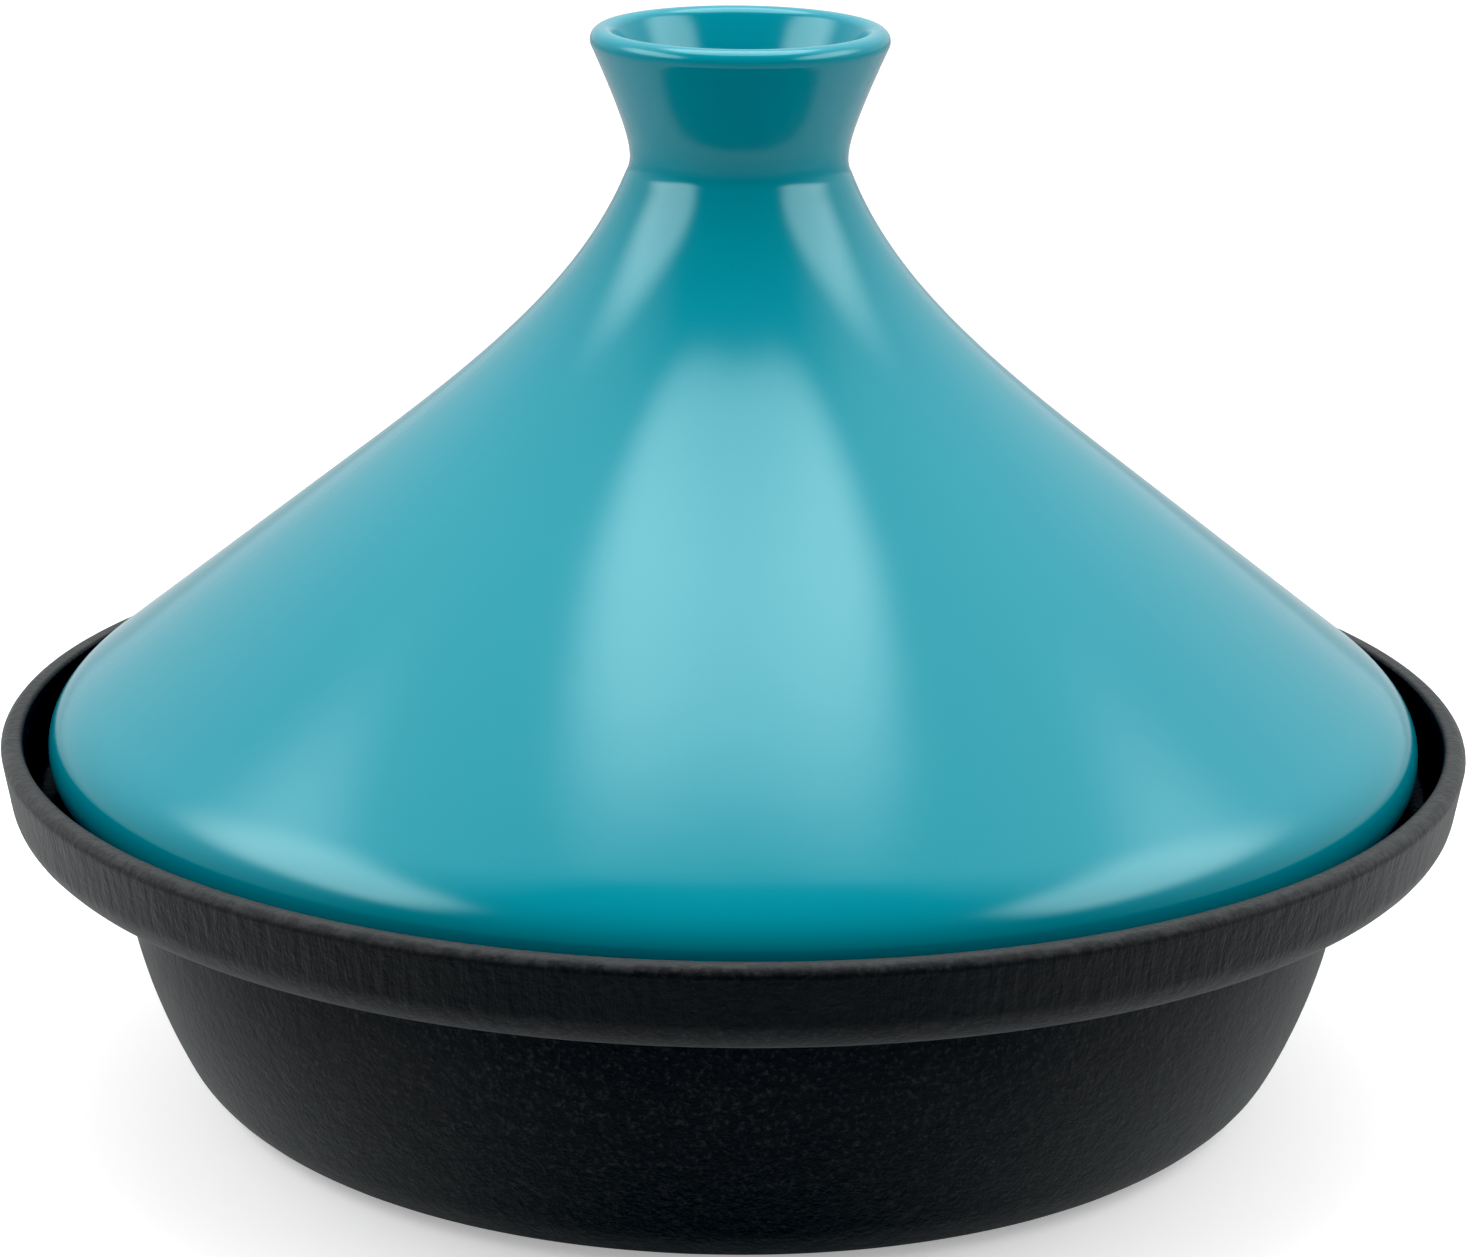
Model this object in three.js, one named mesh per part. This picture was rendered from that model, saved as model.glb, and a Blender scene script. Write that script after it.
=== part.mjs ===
// A round tagine in two pieces: a cast-iron base and a glazed stoneware lid.
// Millimetres, +Z up. It stands on z = 0, with the z axis through the middle of both pieces.
// Each piece is one solid of revolution. Its outline lies in the (radius, height) plane and runs
// with the material on its left, from the axis back to the axis.

import * as THREE from 'three';

const point = (radius, height) => new THREE.Vector2(radius, height);

// How finely a round body and the bends of its outline are divided.
const FLATS_ROUND = 48;
const BEND_PER_STEP = THREE.MathUtils.degToRad(18);
const LENGTH_PER_STEP = 18;
const SAME_POINT = 0.001; // curves that meet closer than this share one point

// Base: one casting, with a shallow bowl, a ledge round its mouth and a collar round the ledge.
const IRON_WALL = 4.9;
const BOWL_MOUTH_RADIUS = 129.4; // outside of the bowl, where its wall turns upright
const BOWL_WALL_HEIGHT = 62.2; // height at which that happens
const BOWL_WALL_ARC = 112.9; // the wall's long outward curve
const BOWL_FOOT_ARC = 20.3; // the tighter curve below it, cut off flat where the base stands
const BOWL_BEND = THREE.MathUtils.degToRad(-27.4); // where one curve runs into the other
const MOUTH_EDGE = 2.4; // rounding of the bowl's inside edge
const COLLAR_RADIUS = 152.5; // widest radius of the whole object
const COLLAR_TOP = 77;
const COLLAR_BOTTOM = 58.7;
const COLLAR_LEAN = THREE.MathUtils.degToRad(10); // its side widens upwards
const COLLAR_BOTTOM_ARC = 8;
const COLLAR_INSIDE_RADIUS = 147.8; // inside edge of the rim
const RIM_OUTER_EDGE = 2;
const RIM_INNER_EDGE = 0.8;
const UNDERCUT_FILLET = 2; // where the collar's underside meets the bowl

// Lid: one piece, with a rolled shoulder, a straight cone, a waisted neck and a hollow knob.
const LID_GAP = 0.3; // the foot of the lid stands this far above the ledge
const CLAY_WALL = 7;
const SHOULDER_RADIUS = 142.7; // widest radius of the lid
const SHOULDER_HEIGHT = 74.5; // height of that widest line
const SHOULDER_ARC = 12; // rounding below the widest line
const SHOULDER_TOP_RADIUS = 134.5; // where the softer rounding above it runs out into the cone
const SHOULDER_PULL = [point(142.7, 79.1), point(140.2, 82.6)]; // the two handles of that rounding
const CONE_SLOPE = THREE.MathUtils.degToRad(38.3); // above the horizontal
const CONE_FOOT_HEIGHT = 80.65; // where the cone's line would meet the widest radius
const LID_INSIDE_RADIUS = 129.5; // opening at the foot
const FOOT_EDGE = 1.5;
const INSIDE_BEND = 4.3; // reach of the rounding between the inside wall and the cone
const SWEEP_RADIUS = 80; // where the straight cone starts to curve up to the neck
const SWEEP_PULL = [point(50, 153.9), point(31.5, 171)]; // the two handles of that curve
const NECK = point(23, 192.3); // top of the curve
const NECK_CREASE = point(22, 194); // the narrowest line is beside this corner
const KNOB_FOOT = point(22.4, 196.8);
const KNOB_FLARE = point(22.8, 201.7); // corner that the knob's side curves past
const KNOB_LIP = point(27.8, 219.2); // middle of the rounded lip
const LIP_ARC = 2.6;
const LIP_LEAN = THREE.MathUtils.degToRad(24); // the knob's side at the lip, from upright
const WELL_FLARE = point(18.9, 205.6); // the hollow in the knob follows the knob's side
const WELL_WALL = point(17.5, 198);
const WELL_CORNER = point(16.2, 191);
const WELL_FLAT_RADIUS = 6;
const CROWN_WALL = point(21.5, 178); // top of the space under the lid, below the well
const CROWN_CORNER = point(19, 184);
const CROWN_FLAT_RADIUS = 8;
const CROWN_PULL = [point(24, 170.5), point(47, 147.3)];

const IRON = { color: 0x1c1c1d, roughness: 0.62, metalness: 0.35 };
const GLAZE = { color: 0x0596a6, roughness: 0.12, metalness: 0.0 };

const onArc = (centre, radius, angle) =>
  point(centre.x + radius * Math.cos(angle), centre.y + radius * Math.sin(angle));
const lineTo = (path, end) => path.lineTo(end.x, end.y);
const curveTo = (path, corner, end) => path.quadraticCurveTo(corner.x, corner.y, end.x, end.y);
const sweepTo = (path, [first, second], end) =>
  path.bezierCurveTo(first.x, first.y, second.x, second.y, end.x, end.y);

// Adds an arc, anticlockwise when the angle grows from start to end. It is drawn a quadrant at a
// time, so that its widest and highest points are points of the outline.
function arcTo(path, centre, radius, start, end) {
  const quadrant = Math.PI / 2;
  const turn = Math.sign(end - start);
  let angle = start;
  while (angle !== end) {
    const nextQuadrant = quadrant * turn * (Math.floor((turn * angle) / quadrant + 1e-6) + 1);
    const next = turn * Math.min(turn * nextQuadrant, turn * end);
    path.absarc(centre.x, centre.y, radius, angle, next, turn < 0);
    angle = next;
  }
}

// Points along a path: one step for a straight, and enough for each curve's bend and length.
function outlinePoints(path) {
  const points = [path.curves[0].getPoint(0)];
  for (const curve of path.curves) {
    const bend = curve.getTangent(0).angleTo(curve.getTangent(1));
    const steps = curve.isLineCurve
      ? 1
      : Math.ceil(Math.max(bend / BEND_PER_STEP, curve.getLength() / LENGTH_PER_STEP));
    const isNew = (next) => next.distanceTo(points.at(-1)) > SAME_POINT;
    points.push(...curve.getPoints(steps).filter(isNew));
  }
  return points;
}

function turnedPiece(name, path, finish) {
  const geometry = new THREE.LatheGeometry(outlinePoints(path), FLATS_ROUND);
  geometry.rotateX(Math.PI / 2);
  const mesh = new THREE.Mesh(geometry, new THREE.MeshStandardMaterial(finish));
  mesh.name = name;
  return mesh;
}

// The collar's side touches the rim's outer edge and its bottom corner, and leans by COLLAR_LEAN.
// Both faces of the bottom corner have one centre, so the wall keeps its thickness round it.
const rimOuter = point(COLLAR_RADIUS - RIM_OUTER_EDGE, COLLAR_TOP - RIM_OUTER_EDGE);
const cornerHeight = COLLAR_BOTTOM + COLLAR_BOTTOM_ARC;
const cornerInset = (rimOuter.y - cornerHeight) * Math.sin(COLLAR_LEAN) + COLLAR_BOTTOM_ARC - RIM_OUTER_EDGE;
const collarCorner = point(rimOuter.x - cornerInset / Math.cos(COLLAR_LEAN), cornerHeight);
const collarInnerArc = COLLAR_BOTTOM_ARC - IRON_WALL;
const ledgeHeight = collarCorner.y - collarInnerArc; // the lid stands on this

function baseOutline() {
  const wallCentre = point(BOWL_MOUTH_RADIUS - BOWL_WALL_ARC, BOWL_WALL_HEIGHT);
  const footCentre = onArc(wallCentre, BOWL_WALL_ARC - BOWL_FOOT_ARC, BOWL_BEND);
  const footStart = -Math.asin(footCentre.y / BOWL_FOOT_ARC);
  const footFlat = onArc(footCentre, BOWL_FOOT_ARC, footStart);
  const wallTop = -Math.asin((BOWL_WALL_HEIGHT - COLLAR_BOTTOM + UNDERCUT_FILLET) / BOWL_WALL_ARC);
  const undercut = point(onArc(wallCentre, BOWL_WALL_ARC, wallTop).x, COLLAR_BOTTOM);
  const rimInner = point(COLLAR_INSIDE_RADIUS + RIM_INNER_EDGE, COLLAR_TOP - RIM_INNER_EDGE);
  const insideWall = BOWL_WALL_ARC - IRON_WALL;
  const mouthArc = insideWall + MOUTH_EDGE; // the middle of the mouth's rounding lies on this
  const insideTop = Math.asin((ledgeHeight - MOUTH_EDGE - wallCentre.y) / mouthArc);
  const mouth = onArc(wallCentre, mouthArc, insideTop);

  const path = new THREE.Path([point(0, 0), point(footFlat.x, 0)]);
  arcTo(path, footCentre, BOWL_FOOT_ARC, footStart, BOWL_BEND);
  arcTo(path, wallCentre, BOWL_WALL_ARC, BOWL_BEND, wallTop);
  curveTo(path, undercut, point(undercut.x + UNDERCUT_FILLET, COLLAR_BOTTOM));
  arcTo(path, collarCorner, COLLAR_BOTTOM_ARC, -Math.PI / 2, -COLLAR_LEAN);
  arcTo(path, rimOuter, RIM_OUTER_EDGE, -COLLAR_LEAN, Math.PI / 2);
  arcTo(path, rimInner, RIM_INNER_EDGE, Math.PI / 2, Math.PI);
  arcTo(path, collarCorner, collarInnerArc, 0, -Math.PI / 2);
  arcTo(path, mouth, MOUTH_EDGE, Math.PI / 2, Math.PI + insideTop);
  arcTo(path, wallCentre, insideWall, insideTop, BOWL_BEND);
  arcTo(path, footCentre, BOWL_FOOT_ARC - IRON_WALL, BOWL_BEND, -Math.PI / 2);
  lineTo(path, point(0, footCentre.y - BOWL_FOOT_ARC + IRON_WALL));
  return path;
}

// A point on the cone's outer line, or on a line that far inside the wall when a depth is given.
function onCone(radius, depth = 0) {
  const height = CONE_FOOT_HEIGHT + (SHOULDER_RADIUS - radius) * Math.tan(CONE_SLOPE);
  return point(radius, height - depth / Math.cos(CONE_SLOPE));
}

function lidOutline() {
  const footHeight = ledgeHeight + LID_GAP;
  const shoulderCentre = point(SHOULDER_RADIUS - SHOULDER_ARC, SHOULDER_HEIGHT);
  const footAngle = Math.asin((footHeight - SHOULDER_HEIGHT) / SHOULDER_ARC);
  const footInner = point(LID_INSIDE_RADIUS + FOOT_EDGE, footHeight + FOOT_EDGE);
  const insideCorner = onCone(LID_INSIDE_RADIUS, CLAY_WALL);
  const insideBend = onCone(LID_INSIDE_RADIUS - INSIDE_BEND * Math.cos(CONE_SLOPE), CLAY_WALL);
  const insideSweep = onCone(SWEEP_RADIUS - CLAY_WALL * Math.sin(CONE_SLOPE), CLAY_WALL);

  const crown = [point(0, CROWN_CORNER.y), point(CROWN_FLAT_RADIUS, CROWN_CORNER.y)];
  const path = new THREE.Path(crown);
  curveTo(path, CROWN_CORNER, CROWN_WALL);
  sweepTo(path, CROWN_PULL, insideSweep);
  lineTo(path, insideBend);
  curveTo(path, insideCorner, point(insideCorner.x, insideCorner.y - INSIDE_BEND));
  arcTo(path, footInner, FOOT_EDGE, Math.PI, Math.PI * 1.5);
  arcTo(path, shoulderCentre, SHOULDER_ARC, footAngle, 0);
  sweepTo(path, SHOULDER_PULL, onCone(SHOULDER_TOP_RADIUS));
  lineTo(path, onCone(SWEEP_RADIUS));
  sweepTo(path, SWEEP_PULL, NECK);
  curveTo(path, NECK_CREASE, KNOB_FOOT);
  curveTo(path, KNOB_FLARE, onArc(KNOB_LIP, LIP_ARC, -LIP_LEAN));
  arcTo(path, KNOB_LIP, LIP_ARC, -LIP_LEAN, Math.PI - LIP_LEAN);
  curveTo(path, WELL_FLARE, WELL_WALL);
  curveTo(path, WELL_CORNER, point(WELL_FLAT_RADIUS, WELL_CORNER.y));
  lineTo(path, point(0, WELL_CORNER.y));
  return path;
}

const tagine = new THREE.Group();
tagine.name = 'tagine';
tagine.add(turnedPiece('base', baseOutline(), IRON));
tagine.add(turnedPiece('lid', lidOutline(), GLAZE));

export default tagine;
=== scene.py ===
"""A round tagine: a black cast-iron base and a teal-glazed stoneware lid, on a pale floor.

Metres, +Z up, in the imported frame. Both pieces are turned from outlines drawn in millimetres, as
(radius, height), with the material on the left of the way the outline runs.
"""

import math

import bpy
import numpy as np
from mathutils import Matrix, Vector, noise


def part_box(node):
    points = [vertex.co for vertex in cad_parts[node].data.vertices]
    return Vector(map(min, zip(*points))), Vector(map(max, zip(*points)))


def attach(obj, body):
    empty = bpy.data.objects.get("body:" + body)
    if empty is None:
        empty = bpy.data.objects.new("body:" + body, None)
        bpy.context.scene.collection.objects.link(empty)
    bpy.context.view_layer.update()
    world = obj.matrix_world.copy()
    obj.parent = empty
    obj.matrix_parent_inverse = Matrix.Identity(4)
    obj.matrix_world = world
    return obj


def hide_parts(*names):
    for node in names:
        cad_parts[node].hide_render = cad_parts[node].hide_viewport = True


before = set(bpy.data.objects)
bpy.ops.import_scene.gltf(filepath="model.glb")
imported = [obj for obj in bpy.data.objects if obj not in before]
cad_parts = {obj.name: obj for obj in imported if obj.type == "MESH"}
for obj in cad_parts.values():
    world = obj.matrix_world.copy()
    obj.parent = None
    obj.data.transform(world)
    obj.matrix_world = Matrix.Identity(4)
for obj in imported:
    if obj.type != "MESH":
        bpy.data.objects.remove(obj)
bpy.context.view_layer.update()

MM = 0.001
_, base_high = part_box("base")
lid_low, lid_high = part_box("lid")

# Driving sizes in millimetres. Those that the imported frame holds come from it.
COLLAR_RADIUS = base_high.x / MM
COLLAR_TOP = base_high.z / MM
SHOULDER_RADIUS = lid_high.x / MM
LID_FOOT = lid_low.z / MM
LID_TOP = lid_high.z / MM

# Base: one casting, with a shallow bowl, a ledge round its mouth and a collar round the ledge.
IRON_WALL = 4.9
COLLAR_BOTTOM = 58.7
COLLAR_LEAN = math.radians(10)  # its side widens upwards
COLLAR_BOTTOM_ARC = 8
COLLAR_INSIDE_RADIUS = 147.8  # inside edge of the rim
RIM_OUTER_EDGE = 2
RIM_INNER_EDGE = 0.8
UNDERCUT_FILLET = 2  # where the collar's underside meets the bowl
BOWL_MOUTH_RADIUS = 129.4  # outside of the bowl, where its wall turns upright
BOWL_WALL_HEIGHT = 62.2  # height at which that happens
BOWL_WALL_ARC = 112.9  # the wall's long outward curve
BOWL_FOOT_ARC = 20.3  # the tighter curve below it, cut off flat where the base stands
BOWL_BEND = math.radians(-27.4)  # where one curve runs into the other
MOUTH_EDGE = 2.4  # rounding of the bowl's inside edge
FOOT_CHAMFER = 0.7  # softens the edge round the flat that each piece stands on

# Lid: one piece, with a rolled shoulder, a straight cone, a waisted neck and a hollow knob.
# A pull, corner, crease or flare is a handle that a curve bends towards without touching it.
CLAY_WALL = 7
SHOULDER_HEIGHT = 74.5  # height of the lid's widest line
SHOULDER_ARC = 12  # rounding below that line
SHOULDER_TOP_RADIUS = 134.5  # where the softer rounding above it runs out into the cone
SHOULDER_PULL = [(142.7, 79.1), (140.2, 82.6)]
CONE_SLOPE = math.radians(38.3)  # above the horizontal
CONE_FOOT_HEIGHT = 80.65  # where the cone's line would meet the widest radius
LID_INSIDE_RADIUS = 129.5  # opening at the foot
FOOT_EDGE = 1.5
INSIDE_BEND = 4.3  # reach of the rounding between the inside wall and the cone
SWEEP_RADIUS = 80  # where the straight cone starts to curve up to the neck
SWEEP_PULL = [(50, 153.9), (31.5, 171)]
NECK = (23, 192.3)  # top of that curve
NECK_CREASE = (22, 194)
KNOB_FOOT = (22.4, 196.8)
KNOB_FLARE = (22.8, 201.7)
LIP_ARC = 2.6
LIP_RADIUS = 27.8  # to the middle of the rounded lip
LIP_LEAN = math.radians(24)  # the knob's side at the lip, from upright
WELL_FLARE = (18.9, 205.6)  # the hollow in the knob follows the knob's side
WELL_WALL = (17.5, 198)
WELL_FLOOR = 191
WELL_CORNER = (16.2, WELL_FLOOR)
WELL_FLAT_RADIUS = 6
CROWN_HEIGHT = 184  # top of the space under the lid, below the well
CROWN_FLAT_RADIUS = 8
CROWN_CORNER = (19, CROWN_HEIGHT)
CROWN_WALL = (21.5, 178)
CROWN_PULL = [(24, 170.5), (47, 147.3)]

# The glaze stands proud of the bare clay, and ends in a small roll.
GLAZE_DEPTH = 0.25
GLAZE_END = math.radians(-44)  # where it stops on the rolled shoulder
GLAZE_ROLL_ANGLE = 0.06  # the roll's reach beyond that, in radians of the shoulder's arc
GLAZE_END_INSIDE = 67.5  # the height at which it stops on the inside wall
GLAZE_ROLL = 0.4  # the roll's reach below that

AROUND = 336  # faces round each piece
SAME_POINT = 1e-3  # stretches that meet closer than this share one point
MAIN_FINISH = 0  # a piece's material slots: iron or glaze first, then the lid's bare foot
BARE_FINISH = 1

# The surfaces' unevenness: how long each kind of wave is, in metres, and how deep, in millimetres.
IRON_WAVE, IRON_WAVE_DEPTH = 0.045, 0.16
IRON_LUMP, IRON_LUMP_DEPTH = 0.006, 0.07
CLAY_WAVE, CLAY_WAVE_DEPTH = 0.07, 0.10
LEVEL_FROM = 0.75  # the normal's share along z from which a face of the base turns out level
SEED_STEP = (7.3, 3.1, 5.7)  # how far apart in the noise two seeds are

# Areas of the base with a look of their own: a range of heights, a range of radii, and over what
# length each range fades out. All in millimetres.
BASE_AREAS = {
    "inner_wall": ((62.3, 90), (0, 148.4), (0.4, 0.5)),  # the ledge, and the collar's inside
    "collar_side": ((65, 74.5), (149.5, 160), (1.5, 1)),  # the collar's outside, with upright grinding marks, and painted darker as shade
    "rim_painted_highlight": ((76.2, 90), (151.0, 160), (0.9, 0.8)),  # the rim's outer edge, painted lighter in patches as a highlight
}

# Colours of the materials, as linear red, green, blue and alpha.
IRON_DARK = (0.003, 0.003, 0.0033, 1)
IRON_LIGHT = (0.0055, 0.0056, 0.0060, 1)
IRON_SPECKLE = (0.021, 0.021, 0.022, 1)
IRON_SHEEN = (0.94, 1.0, 1.0, 1)
COLLAR_STREAK = (0.022, 0.022, 0.024, 1)
# Painted shade: a near-black for the collar's outside, standing in for the shade that falls on it.
COLLAR_PAINTED_SHADE = (0.0008, 0.0008, 0.0010, 1)
# Painted highlight: a lighter grey for the rim's outer edge, standing in for the light it catches.
RIM_PAINTED_HIGHLIGHT = (0.017, 0.017, 0.018, 1)
GLAZE_DEEP = (0.0010, 0.186, 0.240, 1)
GLAZE_PALE = (0.0022, 0.199, 0.255, 1)
GLAZE_SHINE = (0.7, 1.0, 1.0, 1)
CLAY_DARK = (0.15, 0.055, 0.032, 1)
CLAY_LIGHT = (0.21, 0.085, 0.05, 1)
CLAY_SPECKLE = (0.06, 0.03, 0.02, 1)

# The iron's details: how strongly the collar's streaks and its painted shade show, how high pits
# and marks stand in the bump, against 1 for the grain, and how far the marks are drawn out upright.
STREAK_SHARE = 0.4
PAINTED_SHADE_SHARE = 0.9
PIT_HEIGHT = 1.4
MARK_HEIGHT = 0.8
MARK_STRETCH = (1, 1, 0.06)

# The studio: a pale floor, two large soft boxes at the sides, one overhead, and a bright back.
# A glow is how bright something looks, against 1 for white paper. Lengths are in metres.
FLOOR_RADIUS = 6
FLOOR_CORNERS = 96
FLOOR_DEPTH = 0.0002  # below what stands on it, so that the two don't touch
FLOOR_SEEN = (0.84, 0.84, 0.84, 1), (0.86, 0.86, 0.86, 1)  # what the camera sees varies a little
FLOOR_SEEN_GLOW = 0.35
FLOOR_NEAR, FLOOR_FAR = (0.72, 0.72, 0.72, 1), (0.5, 0.5, 0.5, 1)  # what it throws on the pot
FLOOR_FADE = 0.16, 0.36  # the distances from the middle between which it changes
TOP_GLOW = 8.6
TOP_PLACE = (0.0, 0.027, 0.6)
TOP_SIZE = (0.475, 0.4465)
TOP_SOFTNESS = 0.14  # the share of a box over which its edge fades
TOP_DIMMING = 0.15  # keeps the lifted lid, which comes close to the box, from being too bright
LEFT_GLOW = 4.8
LEFT_PLACE = (-0.585, -0.2, 0.54)
RIGHT_GLOW = 4.3
RIGHT_PLACE = (0.585, -0.205, 0.54)
SIDE_SIZE = (0.48, 0.95)
SIDE_TILT = 68  # degrees
SIDE_SOFTNESS = 0.3
CORNER_POWER = 3.0  # 2 makes a box's lit area round, and more makes it squarer
FRONT_GLOW = 0.5
BACK_FADE = math.radians(55), math.radians(95)  # the azimuths between which the back comes in
BACK_RISE = math.radians(10), math.radians(55)  # the elevations between which it gets brighter
BACK_LOW_GLOW, BACK_HIGH_GLOW = 0.55, 1.65
BACK_LEFT, BACK_RIGHT = 0.8, 1.05  # its brightness at the two sides, as shares of that
BLACK_LEVEL = (0.0132, 0.0122, 0.0113)

# The camera, fitted to the photograph's outlines of the rim, the lid and the bowl.
CAMERA_PLACE = (0, -0.9295, 0.3706)
CAMERA_DOWN = 16.495  # degrees below level
CAMERA_ROLL = 0.556  # degrees
CAMERA_LENS = 113.6  # millimetres
SENSOR_WIDTH = 36  # millimetres


class Outline:
    """The outline of a turned piece: points, and the finish of each stretch between two of them.

    Each part of it has a step, which is about how many millimetres lie between its points.
    """

    def __init__(self, radius, height):
        self.points = [(radius, height)]
        self.finishes = []
        self.finish = MAIN_FINISH

    def add(self, points):
        self.points += [tuple(p) for p in points]
        self.finishes += [self.finish] * len(points)

    def line(self, radius, height, step):
        start = np.array(self.points[-1])
        end = np.array((radius, height))
        steps = max(1, math.ceil(np.linalg.norm(end - start) / step))
        self.add([start + (end - start) * i / steps for i in range(1, steps + 1)])

    def arc(self, centre, radius, start, end, step):
        steps = max(2, math.ceil(abs(end - start) * radius / step))
        ring = [on_arc(centre, radius, angle) for angle in np.linspace(start, end, steps + 1)]
        same = np.hypot(*(np.array(ring[0]) - self.points[-1])) < SAME_POINT
        self.add(ring[1:] if same else ring)

    def bezier(self, handles, end, step):
        corners = np.array([self.points[-1], *handles, end], float)
        length = np.linalg.norm(np.diff(corners, axis=0), axis=1).sum()
        steps = max(3, math.ceil(length / step))
        self.add([bezier_point(corners, i / steps) for i in range(1, steps + 1)])


def on_arc(centre, radius, angle):
    return (centre[0] + radius * math.cos(angle), centre[1] + radius * math.sin(angle))


def bezier_point(corners, t):
    while len(corners) > 1:
        corners = corners[:-1] * (1 - t) + corners[1:] * t
    return corners[0]


def base_outline():
    """From the middle of the underside, out and up round the collar, and back over the inside."""
    rim_outer = (COLLAR_RADIUS - RIM_OUTER_EDGE, COLLAR_TOP - RIM_OUTER_EDGE)
    rim_inner = (COLLAR_INSIDE_RADIUS + RIM_INNER_EDGE, COLLAR_TOP - RIM_INNER_EDGE)
    corner_height = COLLAR_BOTTOM + COLLAR_BOTTOM_ARC
    inset = (rim_outer[1] - corner_height) * math.sin(COLLAR_LEAN) + COLLAR_BOTTOM_ARC - RIM_OUTER_EDGE
    corner = (rim_outer[0] - inset / math.cos(COLLAR_LEAN), corner_height)
    corner_inside = COLLAR_BOTTOM_ARC - IRON_WALL
    ledge = COLLAR_BOTTOM + IRON_WALL
    wall = (BOWL_MOUTH_RADIUS - BOWL_WALL_ARC, BOWL_WALL_HEIGHT)
    foot = on_arc(wall, BOWL_WALL_ARC - BOWL_FOOT_ARC, BOWL_BEND)
    foot_angle = -math.asin(foot[1] / BOWL_FOOT_ARC)
    foot_start = foot_angle + FOOT_CHAMFER / BOWL_FOOT_ARC
    foot_flat = on_arc(foot, BOWL_FOOT_ARC, foot_angle)[0]
    wall_top = -math.asin((BOWL_WALL_HEIGHT - COLLAR_BOTTOM + UNDERCUT_FILLET) / BOWL_WALL_ARC)
    undercut = on_arc(wall, BOWL_WALL_ARC, wall_top)[0]
    inside = BOWL_WALL_ARC - IRON_WALL
    mouth_arc = inside + MOUTH_EDGE
    mouth_angle = math.asin((ledge - MOUTH_EDGE - BOWL_WALL_HEIGHT) / mouth_arc)
    mouth = on_arc(wall, mouth_arc, mouth_angle)
    down, up, inward = -math.pi / 2, math.pi / 2, math.pi

    path = Outline(0, 0)
    path.line(foot_flat - FOOT_CHAMFER, 0, step=6)
    path.bezier([(foot_flat, 0)], on_arc(foot, BOWL_FOOT_ARC, foot_start), step=0.4)
    path.arc(foot, BOWL_FOOT_ARC, foot_start, BOWL_BEND, step=1.3)
    path.arc(wall, BOWL_WALL_ARC, BOWL_BEND, wall_top, step=1.6)
    path.bezier([(undercut, COLLAR_BOTTOM)], (undercut + UNDERCUT_FILLET, COLLAR_BOTTOM), step=0.7)
    path.line(corner[0], COLLAR_BOTTOM, step=2)
    path.arc(corner, COLLAR_BOTTOM_ARC, down, -COLLAR_LEAN, step=0.8)
    path.line(*on_arc(rim_outer, RIM_OUTER_EDGE, -COLLAR_LEAN), step=1)
    path.arc(rim_outer, RIM_OUTER_EDGE, -COLLAR_LEAN, 0, step=0.3)
    path.arc(rim_outer, RIM_OUTER_EDGE, 0, up, step=0.35)
    path.line(rim_inner[0], COLLAR_TOP, step=0.7)
    path.arc(rim_inner, RIM_INNER_EDGE, up, inward, step=0.25)
    path.line(corner[0] + corner_inside, corner_height, step=1.5)
    path.arc(corner, corner_inside, 0, down, step=0.6)
    path.line(mouth[0], ledge, step=2)
    path.arc(mouth, MOUTH_EDGE, up, inward + mouth_angle, step=0.5)
    path.arc(wall, inside, mouth_angle, BOWL_BEND, step=2.2)
    path.arc(foot, BOWL_FOOT_ARC - IRON_WALL, BOWL_BEND, down, step=1.3)
    path.line(0, foot[1] - BOWL_FOOT_ARC + IRON_WALL, step=4)
    return path


def on_cone(radius, depth=0):
    """The point of the lid's straight cone at a radius, or that far under its surface."""
    height = CONE_FOOT_HEIGHT + (SHOULDER_RADIUS - radius) * math.tan(CONE_SLOPE)
    return (radius, height - depth / math.cos(CONE_SLOPE))


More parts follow.
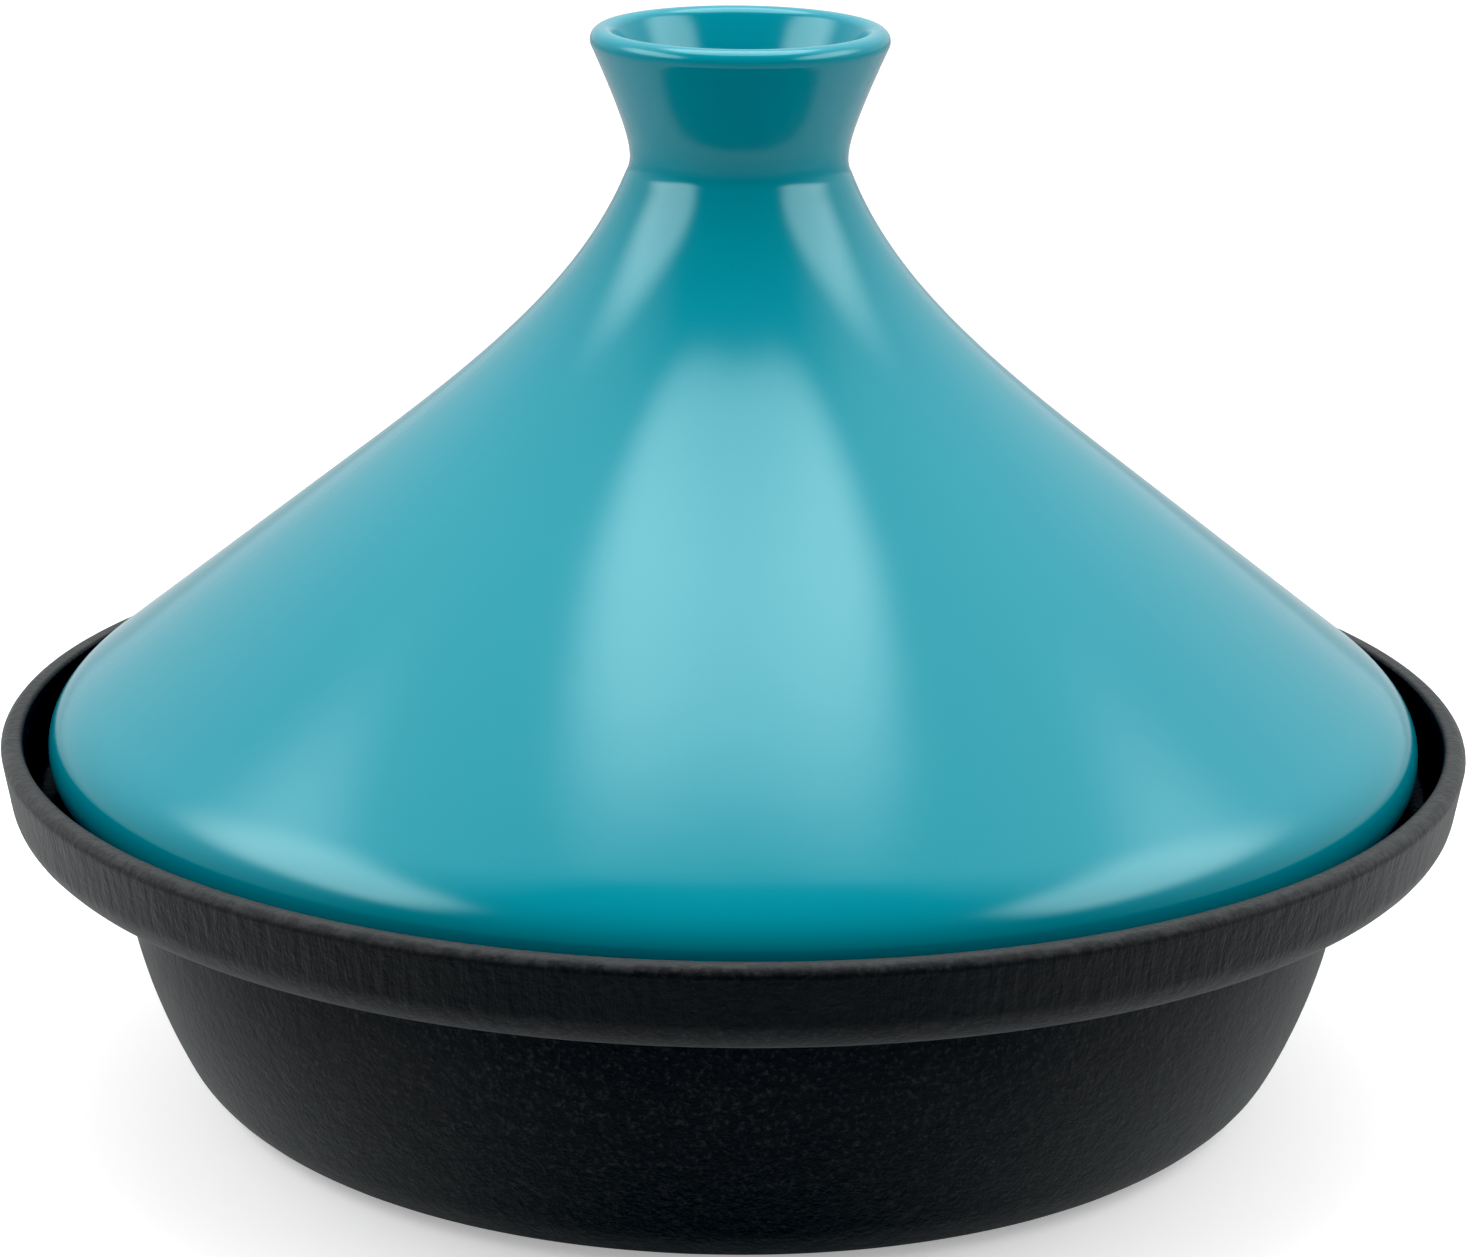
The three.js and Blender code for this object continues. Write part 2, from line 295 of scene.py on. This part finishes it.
def lid_outline():
    """From the top of the space under the lid, down the inside, round the foot and up to the well."""
    shoulder = (SHOULDER_RADIUS - SHOULDER_ARC, SHOULDER_HEIGHT)
    lip = (LIP_RADIUS, LID_TOP - LIP_ARC)
    inside_bend = on_cone(LID_INSIDE_RADIUS - INSIDE_BEND * math.cos(CONE_SLOPE), CLAY_WALL)
    inside_corner = on_cone(LID_INSIDE_RADIUS, CLAY_WALL)
    inside_sweep = on_cone(SWEEP_RADIUS - CLAY_WALL * math.sin(CONE_SLOPE), CLAY_WALL)
    roll_height = GLAZE_END_INSIDE - GLAZE_ROLL
    bare_inside = LID_INSIDE_RADIUS + GLAZE_DEPTH
    bare_arc = SHOULDER_ARC - GLAZE_DEPTH
    bare_foot = math.asin((LID_FOOT + FOOT_CHAMFER - SHOULDER_HEIGHT) / bare_arc)
    bare_end = GLAZE_END - GLAZE_ROLL_ANGLE
    foot_outer = on_arc(shoulder, bare_arc, bare_foot)
    glaze_foot = on_arc(shoulder, SHOULDER_ARC, bare_end)
    up, inward = math.pi / 2, math.pi

    path = Outline(0, CROWN_HEIGHT)
    path.line(CROWN_FLAT_RADIUS, CROWN_HEIGHT, step=4)
    path.bezier([CROWN_CORNER], CROWN_WALL, step=1.6)
    path.bezier(CROWN_PULL, inside_sweep, step=4)
    path.line(*inside_bend, step=5)
    path.bezier([inside_corner], (LID_INSIDE_RADIUS, inside_corner[1] - INSIDE_BEND), step=1)
    path.line(LID_INSIDE_RADIUS, GLAZE_END_INSIDE, step=2.4)
    path.bezier([(LID_INSIDE_RADIUS, roll_height)], (bare_inside, roll_height), step=0.15)
    path.finish = BARE_FINISH
    path.line(bare_inside, LID_FOOT + FOOT_EDGE, step=1.2)
    path.bezier([(bare_inside, LID_FOOT)], (bare_inside + FOOT_EDGE, LID_FOOT), step=0.4)
    path.line(foot_outer[0] - FOOT_CHAMFER, LID_FOOT, step=1.6)
    path.bezier([(foot_outer[0], LID_FOOT)], foot_outer, step=0.3)
    path.arc(shoulder, bare_arc, bare_foot, bare_end, step=0.8)
    path.finish = MAIN_FINISH
    path.bezier([glaze_foot], on_arc(shoulder, SHOULDER_ARC, GLAZE_END), step=0.15)
    path.arc(shoulder, SHOULDER_ARC, GLAZE_END, 0, step=0.8)
    path.bezier(SHOULDER_PULL, on_cone(SHOULDER_TOP_RADIUS), step=0.8)
    path.line(*on_cone(SWEEP_RADIUS), step=3)
    path.bezier(SWEEP_PULL, NECK, step=2.2)
    path.bezier([NECK_CREASE], KNOB_FOOT, step=0.45)
    path.bezier([KNOB_FLARE], on_arc(lip, LIP_ARC, -LIP_LEAN), step=1)
    path.arc(lip, LIP_ARC, -LIP_LEAN, 0, step=0.3)
    path.arc(lip, LIP_ARC, 0, up, step=0.35)
    path.arc(lip, LIP_ARC, up, inward - LIP_LEAN, step=0.35)
    path.bezier([WELL_FLARE], WELL_WALL, step=1.6)
    path.bezier([WELL_CORNER], (WELL_FLAT_RADIUS, WELL_FLOOR), step=1.2)
    path.line(0, WELL_FLOOR, step=2)
    return path


def outline_normals(points):
    """The outward normal at each point of an outline, in its own plane."""
    along = np.gradient(points, axis=0)
    normals = np.column_stack((along[:, 1], -along[:, 0]))
    return normals / np.linalg.norm(normals, axis=1)[:, None]


def noise_at(points, size, seed):
    """Smooth noise from 0 to 1 at each point, for features of about that size in metres."""
    shift = Vector([seed * step for step in SEED_STEP])
    return 0.5 + 0.5 * np.array([noise.noise(Vector(p) / size + shift) for p in points])


def iron_relief(places, facing):
    """The casting's unevenness: long shallow waves and small lumps, none on level faces."""
    waves = noise_at(places, IRON_WAVE, seed=1)
    lumps = noise_at(places, IRON_LUMP, seed=2)
    level = np.clip((np.abs(facing[:, 2]) - LEVEL_FROM) / (1 - LEVEL_FROM), 0, 1)
    return (IRON_WAVE_DEPTH * waves + IRON_LUMP_DEPTH * lumps) * MM * (1 - level)


def clay_relief(places, facing):
    """The lid's unevenness: slow waves in the clay, which the gloss of the glaze shows."""
    return CLAY_WAVE_DEPTH * noise_at(places, CLAY_WAVE, seed=3) * MM


def turned_mesh(name, outline, relief):
    """A turned body. relief(places, facing) gives how far each point sinks into the surface."""
    profile = np.array(outline.points) * MM
    turn = np.arange(AROUND) * 2 * math.pi / AROUND
    cos, sin = np.cos(turn), np.sin(turn)

    def turned(values):
        radius, height = values[1:-1, 0], values[1:-1, 1]
        x = np.outer(radius, cos).ravel()
        y = np.outer(radius, sin).ravel()
        return np.column_stack((x, y, np.repeat(height, AROUND)))

    places, facing = turned(profile), turned(outline_normals(profile))
    places = places - facing * relief(places, facing)[:, None]
    poles = [(0, 0, profile[0, 1]), (0, 0, profile[-1, 1])]
    first_pole, last_pole = len(places), len(places) + 1
    last_ring = len(places) - AROUND

    sides = [(i, (i + 1) % AROUND) for i in range(AROUND)]
    faces = [(first_pole, b, a) for a, b in sides]
    for low in range(0, last_ring, AROUND):
        high = low + AROUND
        faces += [(low + a, low + b, high + b, high + a) for a, b in sides]
    faces += [(last_pole, last_ring + a, last_ring + b) for a, b in sides]

    mesh = bpy.data.meshes.new(name)
    mesh.from_pydata(np.vstack((places, poles)).tolist(), [], faces)
    mesh.polygons.foreach_set("material_index", np.repeat(outline.finishes, AROUND).tolist())
    mesh.polygons.foreach_set("use_smooth", [True] * len(faces))
    mesh.validate()
    piece = bpy.data.objects.new(name, mesh)
    bpy.context.scene.collection.objects.link(piece)
    return piece


def band(values, low, high, soft):
    """1 between low and high, falling to 0 over soft outside them."""
    rise = np.clip((values - low) / soft + 1, 0, 1)
    fall = np.clip((high - values) / soft + 1, 0, 1)
    return rise * fall


def mark_area(piece, name, heights, radii, softness):
    """Stores at each point of a piece's mesh how far it is inside an area, from 0 to 1."""
    mesh = piece.data
    places = np.empty(len(mesh.vertices) * 3)
    mesh.vertices.foreach_get("co", places)
    x, y, z = places.reshape(-1, 3).T
    share = band(z / MM, *heights, softness[0]) * band(np.hypot(x, y) / MM, *radii, softness[1])
    attribute = mesh.attributes.new(name, "FLOAT", "POINT")
    attribute.data.foreach_set("value", share.astype(np.float32))


def set_inputs(tree, node, **inputs):
    """Sets a node's inputs, or links them where the value is another node's socket.

    A name has _ for a space, and _0 or _1 is an input's number.
    """
    for key, value in inputs.items():
        number = key[1:]
        socket = node.inputs[int(number)] if number.isdigit() else node.inputs[key.replace("_", " ")]
        if isinstance(value, bpy.types.NodeSocket):
            tree.links.new(value, socket)
        else:
            socket.default_value = value


def add_node(tree, kind, **inputs):
    node = tree.nodes.new("ShaderNode" + kind)
    set_inputs(tree, node, **inputs)
    return node


def noise_node(tree, where, scale, detail=4.0, roughness=0.5):
    made = add_node(tree, "TexNoise", Vector=where, Scale=scale, Detail=detail, Roughness=roughness)
    return made.outputs["Fac"]


def ramp_node(tree, value, low, high, start=0.0, end=1.0):
    """Maps a value from low..high to start..end, clamped."""
    made = add_node(tree, "MapRange", Value=value, From_Min=low, From_Max=high, To_Min=start, To_Max=end)
    return made.outputs["Result"]


def math_node(tree, operation, first, second=0.0):
    made = add_node(tree, "Math", _0=first, _1=second)
    made.operation = operation
    return made.outputs[0]


def mix_colour(tree, share, first, second):
    made = add_node(tree, "Mix")
    made.data_type = "RGBA"
    set_inputs(tree, made, _0=share, _6=first, _7=second)
    return made.outputs[2]


def attribute_node(tree, name):
    node = add_node(tree, "Attribute")
    node.attribute_name = name
    return node.outputs["Fac"]


def new_material(name):
    material = bpy.data.materials.new(name)
    material.use_nodes = True
    tree = material.node_tree
    where = add_node(tree, "TexCoord").outputs["Object"]
    return material, tree, tree.nodes["Principled BSDF"], where


def iron_material():
    """Seasoned cast iron: black, a fine grain, upright marks and painted shade on the collar, a painted
    highlight on the rim.
    """
    material, tree, shader, where = new_material("black_cast_iron")
    grain = noise_node(tree, where, scale=900, detail=6, roughness=0.65)
    pits = noise_node(tree, where, scale=320, detail=3, roughness=0.6)
    patches = noise_node(tree, where, scale=34, detail=4, roughness=0.6)
    upright = add_node(tree, "VectorMath", _0=where, _1=MARK_STRETCH)
    upright.operation = "MULTIPLY"
    marks = noise_node(tree, upright.outputs[0], scale=420, detail=3, roughness=0.6)
    side = attribute_node(tree, "collar_side")
    rim_edge_area = attribute_node(tree, "rim_painted_highlight")
    inner = attribute_node(tree, "inner_wall")
    marks = math_node(tree, "MULTIPLY", ramp_node(tree, marks, low=0.35, high=0.7), side)
    # Painted highlight: patches along the rim's outer edge, broken up by the pits, are made lighter.
    painted_highlight = math_node(tree, "MULTIPLY", ramp_node(tree, pits, low=0.48, high=0.6), rim_edge_area)

    black = mix_colour(tree, patches, IRON_DARK, IRON_LIGHT)
    speckled = mix_colour(tree, ramp_node(tree, grain, low=0.52, high=0.72), black, IRON_SPECKLE)
    streaked = mix_colour(tree, math_node(tree, "MULTIPLY", marks, STREAK_SHARE), speckled, COLLAR_STREAK)
    # Painted shade: the collar's outside is darkened towards near-black.
    painted_shade_side = mix_colour(tree, math_node(tree, "MULTIPLY", side, PAINTED_SHADE_SHARE), streaked, COLLAR_PAINTED_SHADE)
    # Painted highlight: the rim's outer edge is mixed towards a lighter grey.
    colour = mix_colour(tree, painted_highlight, painted_shade_side, RIM_PAINTED_HIGHLIGHT)

    height = math_node(tree, "ADD", grain, math_node(tree, "MULTIPLY", pits, PIT_HEIGHT))
    height = math_node(tree, "ADD", height, math_node(tree, "MULTIPLY", marks, MARK_HEIGHT))
    bump = add_node(tree, "Bump", Strength=0.8, Distance=0.0002, Height=height)
    set_inputs(
        tree,
        shader,
        Base_Color=colour,
        Roughness=ramp_node(tree, patches, low=0.3, high=0.7, start=0.5, end=0.6),
        Specular_IOR_Level=0.15,
        Sheen_Weight=ramp_node(tree, inner, low=0.0, high=1.0, start=0.14, end=0.0),
        Sheen_Roughness=0.5,
        Sheen_Tint=IRON_SHEEN,
        Normal=bump.outputs["Normal"],
    )
    return material


def glaze_material():
    """A glossy teal glaze, a little cloudy, with a faint ripple in its gloss."""
    material, tree, shader, where = new_material("teal_glaze")
    clouds = noise_node(tree, where, scale=14, detail=3)
    ripple = noise_node(tree, where, scale=110, detail=2, roughness=0.4)
    colour = mix_colour(tree, clouds, GLAZE_DEEP, GLAZE_PALE)
    bump = add_node(tree, "Bump", Strength=0.5, Distance=0.00003, Height=ripple)
    set_inputs(
        tree,
        shader,
        Base_Color=colour,
        Roughness=ramp_node(tree, clouds, low=0.3, high=0.7, start=0.12, end=0.16),
        IOR=1.5,
        Specular_Tint=GLAZE_SHINE,
        Normal=bump.outputs["Normal"],
    )
    return material


def clay_material():
    """The bare red clay of the lid's foot."""
    material, tree, shader, where = new_material("bare_clay")
    grain = noise_node(tree, where, scale=700, detail=5, roughness=0.6)
    patches = noise_node(tree, where, scale=60, detail=3)
    brown = mix_colour(tree, patches, CLAY_DARK, CLAY_LIGHT)
    colour = mix_colour(tree, ramp_node(tree, grain, low=0.5, high=0.75), brown, CLAY_SPECKLE)
    bump = add_node(tree, "Bump", Strength=0.7, Distance=0.0001, Height=grain)
    set_inputs(tree, shader, Base_Color=colour, Roughness=0.85, Normal=bump.outputs["Normal"])
    return material


def make_base():
    piece = turned_mesh("iron_base", base_outline(), iron_relief)
    piece.data.materials.append(iron_material())
    for name, (heights, radii, softness) in BASE_AREAS.items():
        mark_area(piece, name, heights, radii, softness)
    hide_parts("base")
    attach(piece, "base")


def make_lid():
    piece = turned_mesh("glazed_lid", lid_outline(), clay_relief)
    piece.data.materials.append(glaze_material())
    piece.data.materials.append(clay_material())
    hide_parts("lid")
    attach(piece, "lid")


def floor_material():
    """Nearly white where the camera sees it. The light that it throws on the pot is greyer."""
    material, tree, shader, where = new_material("pale_floor")
    seen = mix_colour(tree, noise_node(tree, where, scale=3, detail=2), *FLOOR_SEEN)
    is_seen = add_node(tree, "LightPath").outputs["Is Camera Ray"]
    distance = add_node(tree, "VectorMath", _0=where)
    distance.operation = "LENGTH"
    far = ramp_node(tree, distance.outputs["Value"], *FLOOR_FADE)
    thrown = mix_colour(tree, far, FLOOR_NEAR, FLOOR_FAR)
    set_inputs(
        tree,
        shader,
        Base_Color=mix_colour(tree, is_seen, thrown, seen),
        Roughness=0.9,
        Specular_IOR_Level=0.1,
        Emission_Color=(1, 1, 1, 1),
        Emission_Strength=math_node(tree, "MULTIPLY", is_seen, FLOOR_SEEN_GLOW),
    )
    return material


def make_floor():
    mesh = bpy.data.meshes.new("floor")
    turn = np.linspace(0, 2 * math.pi, FLOOR_CORNERS + 1)[:-1]
    ring = [(FLOOR_RADIUS * math.cos(angle), FLOOR_RADIUS * math.sin(angle), 0) for angle in turn]
    mesh.from_pydata(ring, [], [list(range(len(ring)))])
    floor = bpy.data.objects.new("floor", mesh)
    floor.location.z = -FLOOR_DEPTH
    bpy.context.scene.collection.objects.link(floor)
    mesh.materials.append(floor_material())


def make_soft_box(name, place, tilt, size, glow, softness, dimming=0.0):
    """A soft box: an area light with rounded corners that fades towards its edges.

    Its size is across x and along y before it is tilted about y, in degrees. Dimming makes its
    light grow less for what comes close to it.
    """
    light = bpy.data.lights.new(name, "AREA")
    light.shape = "RECTANGLE"
    light.size, light.size_y = size
    light.energy = glow * size[0] * size[1] * math.pi
    light.use_nodes = True
    tree = light.node_tree
    on_box = add_node(tree, "NewGeometry").outputs["Parametric"]
    parts = add_node(tree, "SeparateXYZ", Vector=on_box)
    powers = []
    for axis in ("X", "Y"):
        from_middle = math_node(tree, "ABSOLUTE", math_node(tree, "SUBTRACT", parts.outputs[axis], 0.5))
        powers.append(math_node(tree, "POWER", from_middle, CORNER_POWER))
    from_middle = math_node(tree, "POWER", math_node(tree, "ADD", *powers), 1 / CORNER_POWER)
    fade = add_node(tree, "MapRange", Value=from_middle, From_Min=0.5 - softness, From_Max=0.5)
    fade.interpolation_type = "SMOOTHSTEP"
    set_inputs(tree, fade, To_Min=1.0, To_Max=0.0)
    falloff = add_node(tree, "LightFalloff", Strength=1.0, Smooth=dimming).outputs["Quadratic"]
    strength = math_node(tree, "MULTIPLY", fade.outputs["Result"], falloff)
    set_inputs(tree, tree.nodes["Emission"], Strength=strength)
    lamp = bpy.data.objects.new(name, light)
    lamp.location = place
    lamp.rotation_euler.y = math.radians(tilt)
    lamp.visible_camera = False
    bpy.context.scene.collection.objects.link(lamp)


def make_world():
    """The studio's light, by direction. Azimuth 0 is towards the camera and grows to its right.

    Seen directly, the surroundings are white, like the floor.
    """
    world = bpy.data.worlds.new("studio")
    world.use_nodes = True
    tree = world.node_tree
    tree.nodes.clear()
    direction = add_node(tree, "TexCoord").outputs["Generated"]
    x, y, z = add_node(tree, "SeparateXYZ", Vector=direction).outputs
    azimuth = math_node(tree, "ARCTAN2", x, math_node(tree, "MULTIPLY", y, -1.0))
    elevation = math_node(tree, "ARCSINE", z)

    behind = ramp_node(tree, math_node(tree, "ABSOLUTE", azimuth), *BACK_FADE)
    raised = ramp_node(tree, elevation, *BACK_RISE, start=BACK_LOW_GLOW, end=BACK_HIGH_GLOW)
    sideways = ramp_node(tree, x, low=-1.0, high=1.0, start=BACK_LEFT, end=BACK_RIGHT)
    back = math_node(tree, "MULTIPLY", behind, math_node(tree, "MULTIPLY", raised, sideways))
    shine = add_node(tree, "Background", Strength=math_node(tree, "ADD", back, FRONT_GLOW))
    seen = add_node(tree, "Background", Color=(1, 1, 1, 1), Strength=1.0)
    is_seen = add_node(tree, "LightPath").outputs["Is Camera Ray"]
    mix = add_node(tree, "MixShader", _0=is_seen, _1=shine.outputs[0], _2=seen.outputs[0])
    add_node(tree, "OutputWorld", Surface=mix.outputs[0])
    bpy.context.scene.world = world


def make_camera():
    """In front of the pot and above it, looking down at it and rolled by a very little."""
    data = bpy.data.cameras.new("camera")
    data.sensor_width = SENSOR_WIDTH
    data.lens = CAMERA_LENS
    data.clip_start, data.clip_end = 0.05, 50
    camera = bpy.data.objects.new("camera", data)
    pitch = Matrix.Rotation(math.radians(90 - CAMERA_DOWN), 4, "X")
    roll = Matrix.Rotation(math.radians(CAMERA_ROLL), 4, "Z")
    camera.matrix_world = Matrix.Translation(CAMERA_PLACE) @ (pitch @ roll)
    bpy.context.scene.collection.objects.link(camera)
    bpy.context.scene.camera = camera


def set_grade():
    """The photograph's contrast: its darkest tones are pressed down to black."""
    view = bpy.context.scene.view_settings
    view.view_transform = "Standard"
    view.use_curve_mapping = True
    view.curve_mapping.black_level = BLACK_LEVEL
    view.curve_mapping.update()


set_grade()
make_base()
make_lid()
make_floor()
make_soft_box("top_box", TOP_PLACE, 0, TOP_SIZE, TOP_GLOW, TOP_SOFTNESS, TOP_DIMMING)
make_soft_box("left_box", LEFT_PLACE, -SIDE_TILT, SIDE_SIZE, LEFT_GLOW, SIDE_SOFTNESS)
make_soft_box("right_box", RIGHT_PLACE, SIDE_TILT, SIDE_SIZE, RIGHT_GLOW, SIDE_SOFTNESS)
make_world()
make_camera()
